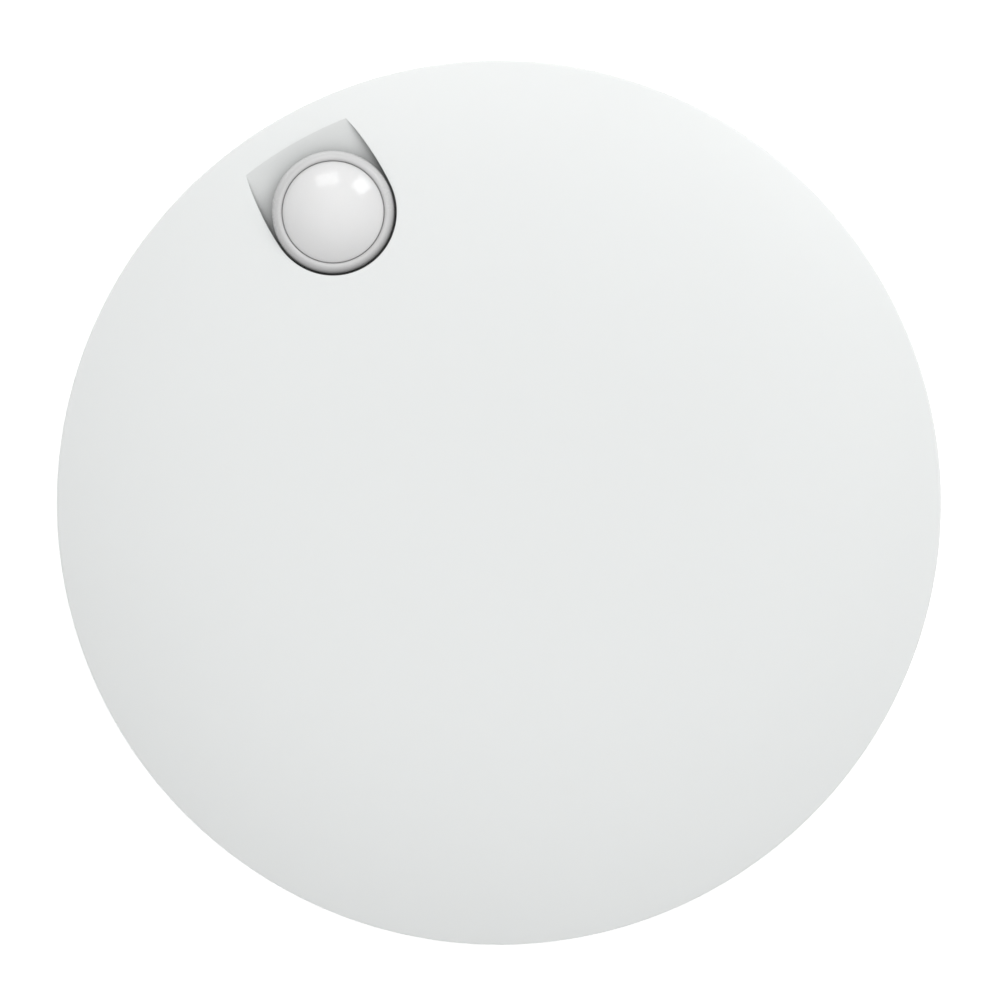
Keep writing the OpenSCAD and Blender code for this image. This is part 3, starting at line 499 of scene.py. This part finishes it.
# ---------------------------------------- domed lens, a shell with a flange at its foot
flange = COLLAR_TOP - LENS_FLANGE_DROP
flange_top = flange + LENS_FLANGE_T
chamfer = 0.1
rho = (LENS_R ** 2 + LENS_RISE ** 2) / (2 * LENS_RISE)
top = COLLAR_TOP - LENS_EDGE_DROP + LENS_RISE
half = math.degrees(math.asin((LENS_R - 2 * LENS_EDGE[0][0]) / rho))
profile = arc((0, top - rho), rho, 90, 90 - half, 40)[1:]
edge_z = profile[-1][1]
profile += [(LENS_R - inwards, edge_z - down) for inwards, down in LENS_EDGE]
profile += [(LENS_R, flange_top), (LENS_FLANGE_R - chamfer / 2, flange_top),
            (LENS_FLANGE_R, flange_top - chamfer), (LENS_FLANGE_R, flange + chamfer),
            (LENS_FLANGE_R - chamfer, flange), (LENS_R - LENS_T, flange)]
inner_half = math.degrees(math.asin((LENS_R - LENS_T) / (rho - LENS_T)))
profile += arc((0, top - rho), rho - LENS_T, 90 - inner_half, 90, 40)[:-1]
points, faces = turned(profile, TURN_STEPS, SENSOR, closed=False)
points = np.concatenate([points, [[SENSOR[0], SENSOR[1], top], [SENSOR[0], SENSOR[1], top - LENS_T]]])
apex, inside = len(points) - 2, len(points) - 1
last = apex - TURN_STEPS
faces += [(apex, (k + 1) % TURN_STEPS, k) for k in range(TURN_STEPS)]
faces += [(inside, last + k, last + (k + 1) % TURN_STEPS) for k in range(TURN_STEPS)]
make_piece("lens", points, faces, "base", "milky_lens", ["pir_lens"], sharp=50)


# ---------------------------------------- wires, along the routes of their CAD nodes
def curve(route, per_point):
    """Points along a smooth curve through a route."""
    p = np.asarray([route[0]] + list(route) + [route[-1]], float)
    points = []
    for a, b, c, d in zip(p, p[1:], p[2:], p[3:]):
        for t in np.arange(per_point) / per_point:
            points.append(0.5 * (2 * b + (c - a) * t + (2 * a - 5 * b + 4 * c - d) * t ** 2
                                 + (3 * b - a - 3 * c + d) * t ** 3))
    return np.array(points + [p[-1]])


def tube(name, route, r, slot, node, sides=16):
    line = curve(route, 8)
    along = np.gradient(line, axis=0)
    along /= np.linalg.norm(along, axis=1)[:, None]
    across = np.cross(along[0], (0.3, 0.2, 1.0))
    angle = np.linspace(0, 2 * math.pi, sides, endpoint=False)
    loops = []
    for centre, ahead in zip(line, along):
        across = across - ahead * (across @ ahead)
        across /= np.linalg.norm(across)
        up = np.cross(ahead, across)
        loops.append(centre + r * (np.cos(angle)[:, None] * across + np.sin(angle)[:, None] * up))
    points, faces = loft(loops, False)
    last = len(points) - sides
    faces += [tuple(range(sides - 1, -1, -1)), tuple(range(last, last + sides))]
    return make_piece(name, points, faces, "base", slot, [node])


def polar(places):
    return [(r * math.cos(math.radians(a)), r * math.sin(math.radians(a)), z) for a, r, z in places]


def from_sensor(places):
    return [tuple(at_sensor(x, y, z)) for x, y, z in places]


WIRE_R, LEAD_R, ENTRY_Z = 1.1, 0.8, 10.8
LANE_Z, LANE_ANGLES = 2.9, (20, 32, 44, 56, 68)


def lane(r):
    """The run of one wire through the three saddles."""
    return [(a, r, LANE_Z) for a in LANE_ANGLES]


tube("earth_wire", [(108, -10.7, 7), (106, -10.7, 7), (103.6, -11.2, 6.8), (102, -14, 5.8),
                    (102.8, -17.4, 4.8), (106, -19.6, 4.2), (109.6, -20.4, 4.1), (111.6, -22, 4.1),
                    (112, -24.2, 4.1), (112, -26, 4.1), (112, -27.7, 4.1)],
     WIRE_R, "green_yellow_wire", "wire_earth")
tube("live_wire", [(108, 10.7, 7), (106, 10.7, 7), (103.8, 11.4, 6.8), (102.4, 14.6, 5)]
     + polar([(12, 102.8, 3.1)] + lane(102.8) + [(80, 103, 2.9)])
     + from_sensor([(-33.5, -53, 3.4), (-19, -45, 5.6), (-6, -38.5, 9), (-1, -34.4, 10.6), (0, -30, ENTRY_Z),
                    (0, -26, ENTRY_Z), (0, -18.6, ENTRY_Z)]), WIRE_R, "brown_wire", "wire_live")
tube("neutral_wire", [(108, 1.7, 7), (106, 1.7, 7), (103, 2.2, 6.8), (100.6, 5, 5.8)]
     + polar([(7, 100.2, 3.6), (12, 100.2, 2.9)] + lane(100.2) + [(80, 100.2, 2.9)])
     + from_sensor([(-37.4, -51, 3.4), (-24, -43, 5.6), (-11.4, -37, 9), (-6.8, -33.6, 10.6),
                    (-6, -29.6, ENTRY_Z), (-6, -26, ENTRY_Z), (-6, -18.6, ENTRY_Z)]),
     WIRE_R, "blue_wire", "wire_neutral")
tube("switched_wire", [(49.6, 5, 6), (52, 5, 6)]
     + polar([(7.4, 58, 5.4), (9, 70, 3.4), (14, 86, 2.9), (20, 95.4, 2.9), (26, 97.6, 2.9)]
             + lane(97.6)[1:] + [(80, 97.6, 2.9)])
     + from_sensor([(-41, -49, 3.4), (-29, -41.4, 5.6), (-17, -35.6, 9), (-12.8, -32.6, 10.6),
                    (-12, -29.2, ENTRY_Z), (-12, -26, ENTRY_Z), (-12, -18.6, ENTRY_Z)]),
     WIRE_R, "black_wire", "wire_switched")
tube("driver_neutral_wire", [(49.6, -5, 6), (52, -5, 6), (58, -5.4, 5.4), (66, -6.4, 3.8), (80, -7, 3),
                             (92, -6, 3), (99, -3.4, 4.4), (103, -1.9, 6.4), (106, -1.7, 7), (108, -1.7, 7)],
     WIRE_R, "blue_wire", "wire_driver_neutral")
tube("red_lead", [(-49.6, 2, 10), (-53, 2, 10), (-57.4, 2.2, 10.6), (-61, 3, 13.4), (-60, 4, 18.6),
                  (-54, 4, 21.2), (-44, 3.4, 21.6), (-28, 2, 21.6), (-16, -2, 22), (-8, -8.4, 24),
                  (-4, -15, 27.4), (-2.4, -23, 29.2), (-2, -29.6, 29), (-2, -33, 29)],
     LEAD_R, "red_wire", "led_leads")
tube("black_lead", [(-49.6, -2, 10), (-53, -2, 10), (-57, -1.9, 10.6), (-60.6, -1.4, 13.4), (-59.6, 0, 18.6),
                    (-54, 0, 21.2), (-44, -0.6, 21.6), (-28, -2.4, 21.6), (-16, -6.8, 22), (-6.4, -13, 24),
                    (-0.6, -17.4, 27.4), (1.7, -23.4, 29.2), (2, -29.6, 29), (2, -33, 29)],
     LEAD_R, "black_wire", "led_leads")

# ---------------------------------------- CAD nodes keep their shape and get real finishes
for name, node in frame["nodes"].items():
    node.data.materials.clear()
    node.data.materials.append(looks[slot_of[name]])

# ---------------------------------------- floor, light and camera
LOW_SKY, FLOOR_GLOW, BACKDROP = 0.2, 0.5, 0.9
# Each broad glow: degrees from overhead, degrees anticlockwise from +X, narrowness and strength
SKY_GLOWS = [(0, 0, 3, 1.26), (50, 90, 4, 0.42), (60, -20, 4, 0.3), (70, -110, 3, 0.16)]
FLOOR_SIDE, FLOOR_DROP = 30.0, 0.0004
SOFTBOX_AWAY, EYE_Z = 1.6, 0.05
CAMERA_Z, CAMERA_ASIDE, CAMERA_ROLL = 5.0, (0.0004, 0.001), 0.3
RIM_Z, VIEW_WIDTH, FILM_WIDTH = 0.036, 0.37297, 36.0
floor_mesh = bpy.data.meshes.new("floor")
corners = [(x * FLOOR_SIDE, y * FLOOR_SIDE, 0) for x, y in ((-1, -1), (1, -1), (1, 1), (-1, 1))]
floor_mesh.from_pydata(corners, [], [(0, 1, 2, 3)])
floor = bpy.data.objects.new("floor", floor_mesh)
floor.location.z = -FLOOR_DROP
bpy.context.scene.collection.objects.link(floor)
paper = surface("white_paper", (0.86, 0.86, 0.86), rough=0.8, rough_vary=0.05, colour_vary=0.003, grain=900.0,
                grain_depth=0.00002, patch=3.0)
paper.shader.inputs["Emission Color"].default_value = (1, 1, 1, 1)
paper.shader.inputs["Emission Strength"].default_value = FLOOR_GLOW
floor_mesh.materials.append(paper.material)

# A soft room: even light from all round, with broad brighter parts overhead and towards the top and right
world = bpy.data.worlds.new("soft_room")
bpy.context.scene.world = world
world.use_nodes = True
sky = world.node_tree
look_up = sky.nodes.new("ShaderNodeTexCoord").outputs["Generated"]


def glow(polar, azimuth, spread, strength):
    """The share of the sky's light that comes from round one direction."""
    p, a = math.radians(polar), math.radians(azimuth)
    toward = sky.nodes.new("ShaderNodeVectorMath")
    toward.operation = "DOT_PRODUCT"
    toward.inputs[1].default_value = (math.sin(p) * math.cos(a), math.sin(p) * math.sin(a), math.cos(p))
    sky.links.new(look_up, toward.inputs[0])
    steps = (("MAXIMUM", 0.0), ("POWER", spread), ("MULTIPLY", strength))
    value = toward.outputs["Value"]
    for operation, number in steps:
        step = sky.nodes.new("ShaderNodeMath")
        step.operation = operation
        step.inputs[1].default_value = number
        sky.links.new(value, step.inputs[0])
        value = step.outputs[0]
    return value


level = sky.nodes.new("ShaderNodeValue").outputs[0]
level.default_value = LOW_SKY
for part in SKY_GLOWS:
    total = sky.nodes.new("ShaderNodeMath")
    sky.links.new(level, total.inputs[0])
    sky.links.new(glow(*part), total.inputs[1])
    level = total.outputs[0]
sky.nodes["Background"].inputs["Color"].default_value = (1, 1, 1, 1)
seen = sky.nodes.new("ShaderNodeMix")
seen.inputs[3].default_value = BACKDROP
sky.links.new(sky.nodes.new("ShaderNodeLightPath").outputs["Is Camera Ray"], seen.inputs[0])
sky.links.new(level, seen.inputs[2])
sky.links.new(seen.outputs[0], sky.nodes["Background"].inputs["Strength"])


def softbox(name, polar, azimuth, width, height, watts):
    """A rectangle of light that faces the sensor's eye from one direction and throws its highlight."""
    lamp = bpy.data.lights.new(name, "AREA")
    lamp.shape = "RECTANGLE"
    lamp.size, lamp.size_y, lamp.energy = width, height, watts
    box = bpy.data.objects.new(name, lamp)
    p, a = math.radians(polar), math.radians(azimuth)
    away = Vector((math.sin(p) * math.cos(a), math.sin(p) * math.sin(a), math.cos(p)))
    box.location = Vector((SENSOR[0] * MM, SENSOR[1] * MM, EYE_Z)) + away * SOFTBOX_AWAY
    box.rotation_euler = away.to_track_quat("Z", "Y").to_euler()
    box.visible_camera = False
    bpy.context.scene.collection.objects.link(box)


softbox("softbox_top", polar=47.7, azimuth=101, width=0.81, height=0.51, watts=3.6)
softbox("softbox_right", polar=54.7, azimuth=45, width=0.51, height=0.59, watts=4.2)

camera_data = bpy.data.cameras.new("camera")
camera = bpy.data.objects.new("camera", camera_data)
bpy.context.scene.collection.objects.link(camera)
bpy.context.scene.camera = camera
camera.location = (*CAMERA_ASIDE, CAMERA_Z)
camera.rotation_euler.z = math.radians(CAMERA_ROLL)
camera_data.sensor_width = FILM_WIDTH
camera_data.lens = FILM_WIDTH * (CAMERA_Z - RIM_Z) / VIEW_WIDTH
camera_data.clip_start, camera_data.clip_end = 0.1, 100.0
bpy.context.scene.view_settings.view_transform = "Standard"
bpy.context.scene.view_settings.look = "None"
